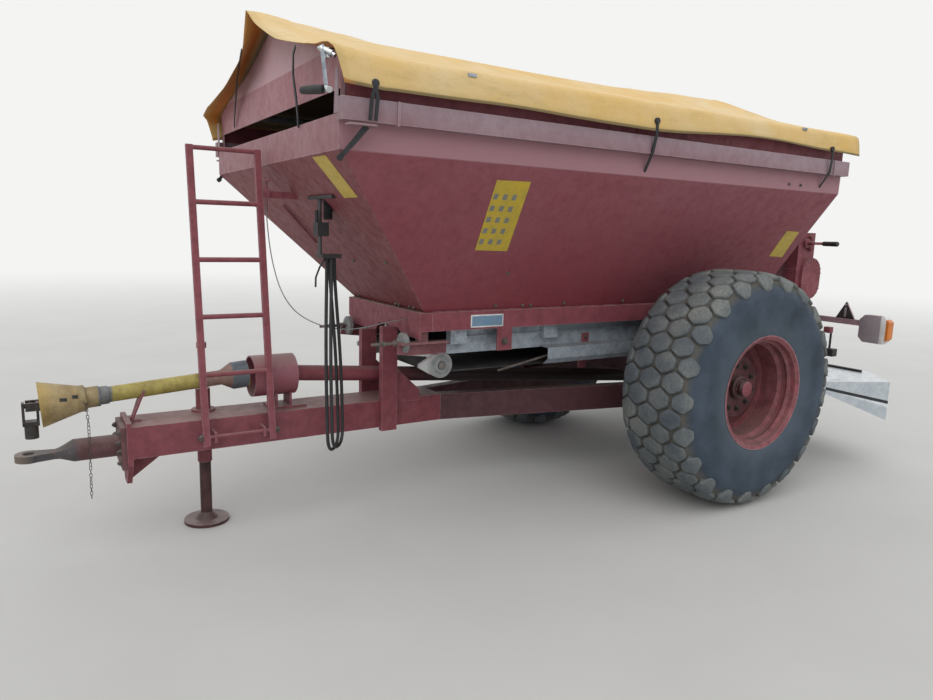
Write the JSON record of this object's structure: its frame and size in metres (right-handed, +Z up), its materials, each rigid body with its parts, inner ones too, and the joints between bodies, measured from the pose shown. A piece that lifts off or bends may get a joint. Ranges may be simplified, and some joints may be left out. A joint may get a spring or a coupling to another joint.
{
  "type": "fertilizer spreader",
  "caption": "Trailed farm spreader: steel hopper with yellow cover, floor belt, twin spinning discs, wide tyres, ladder, parking jack and drive shaft.",
  "frame": {"origin": "on the ground, under the middle of the machine's length and width", "axes": "+X forward to the towing eye, +Y to the left side with the ladder, +Z up"},
  "size_m": [5.6899, 2.64, 2.712],
  "materials": {
    "red_paint": "faded, dusty and chalky",
    "pink_paint": "bleached",
    "pale_sheet": "weathered zinc",
    "pale_steel": "weathered",
    "bare_steel": "worn",
    "stainless": "brushed",
    "cast_grey": "cast",
    "rusty_steel": "rusty",
    "chain_steel": "dark",
    "belt_rubber": "matte",
    "hose_rubber": "matte",
    "cable_grey": "matte",
    "guard_plastic": "sun-bleached",
    "yellow_tarp": "dusty coated cloth",
    "tyre_rubber": "dusty"
  },
  "bodies": {
    "chassis": {"axle_beam": "red_paint", "belt_rollers": "bare_steel", "belt_troughs": "pale_sheet", "chain_case": "red_paint", "chassis_rails": "red_paint", "coupling_can": "pink_paint", "cover_poles": "pale_steel", "crank_housing": "red_paint", "discharge_box": "red_paint", "drawbar_beam": "red_paint", "drive_tube": "red_paint", "floor_belt": "belt_rubber", "frame_front_member": "red_paint", "frame_rails": "red_paint", "front_posts": "red_paint", "gables": "red_paint", "hopper_front_wall": "red_paint", "hopper_lip": "red_paint", "hopper_rear_wall": "red_paint", "hopper_side_left": "red_paint", "hopper_side_right": "red_paint", "hose_1": "hose_rubber", "hose_2": "hose_rubber", "jack_sleeve": "red_paint", "ladder_stay": "red_paint", "lamp_bars": "pale_steel", "rear_posts": "red_paint", "roller_brackets": "red_paint", "sensor_cable": "cable_grey", "spinner_frame": "red_paint", "spinner_gearbox": "cast_grey", "spinner_hood": "stainless", "tarp_cover": "yellow_tarp", "top_rails": "red_paint", "towing_eye": "rusty_steel", "valve_hanger": "rusty_steel"},
    "wheel_left": {"tyre_left": "tyre_rubber", "rim_left": "red_paint", "hub_left": "pink_paint"},
    "wheel_right": {"tyre_right": "tyre_rubber", "rim_right": "red_paint", "hub_right": "pink_paint"},
    "jack": {"jack_leg": "rusty_steel"},
    "pto_shaft": {"pto_guard": "guard_plastic", "pto_stub": "rusty_steel", "guard_chain": "chain_steel"},
    "pto_yoke": {"pto_yoke": "rusty_steel"},
    "spinner_left": {"spinner_left": "stainless"},
    "spinner_right": {"spinner_right": "stainless"},
    "gate": {"metering_door": "red_paint"},
    "ladder": {"ladder": "red_paint"}
  },
  "joints": [
    {"name": "wheel_left_spin", "type": "hinge", "parent": "chassis", "child": "wheel_left", "pos_m": [-1.035, 1.037, 0.735], "axis": [0, 1, 0], "continuous": true},
    {"name": "wheel_right_spin", "type": "hinge", "parent": "chassis", "child": "wheel_right", "pos_m": [-1.035, -1.037, 0.735], "axis": [0, 1, 0], "continuous": true},
    {"name": "jack_lift", "type": "slide", "parent": "chassis", "child": "jack", "axis": [0, 0, 1], "range_m": [0, 0.23]},
    {"name": "pto_lift", "type": "hinge", "parent": "chassis", "child": "pto_shaft", "pos_m": [1.755, 0, 0.842], "axis": [0, -1, 0], "range_deg": [0, 40]},
    {"name": "pto_yoke_swing", "type": "hinge", "parent": "pto_shaft", "child": "pto_yoke", "pos_m": [2.765, 0, 0.769], "axis": [0, -1, 0], "range_deg": [0, 70]},
    {"name": "spinner_left_spin", "type": "hinge", "parent": "chassis", "child": "spinner_left", "pos_m": [-2.475, 0.29, 0.56], "axis": [0, 0, 1], "continuous": true},
    {"name": "spinner_right_spin", "type": "hinge", "parent": "chassis", "child": "spinner_right", "pos_m": [-2.475, -0.29, 0.56], "axis": [0, 0, 1], "continuous": true},
    {"name": "gate_lift", "type": "slide", "parent": "chassis", "child": "gate", "axis": [0, 0, 1], "range_m": [0, 0.25]},
    {"name": "ladder_swing", "type": "hinge", "parent": "chassis", "child": "ladder", "pos_m": [1.827, 0.195, 0.56], "axis": [-1, 0, 0], "range_deg": [0, 85]}
  ],
  "couplings": [
    {"joint": "spinner_right_spin", "follows": "spinner_left_spin", "ratio": -1}
  ]
}
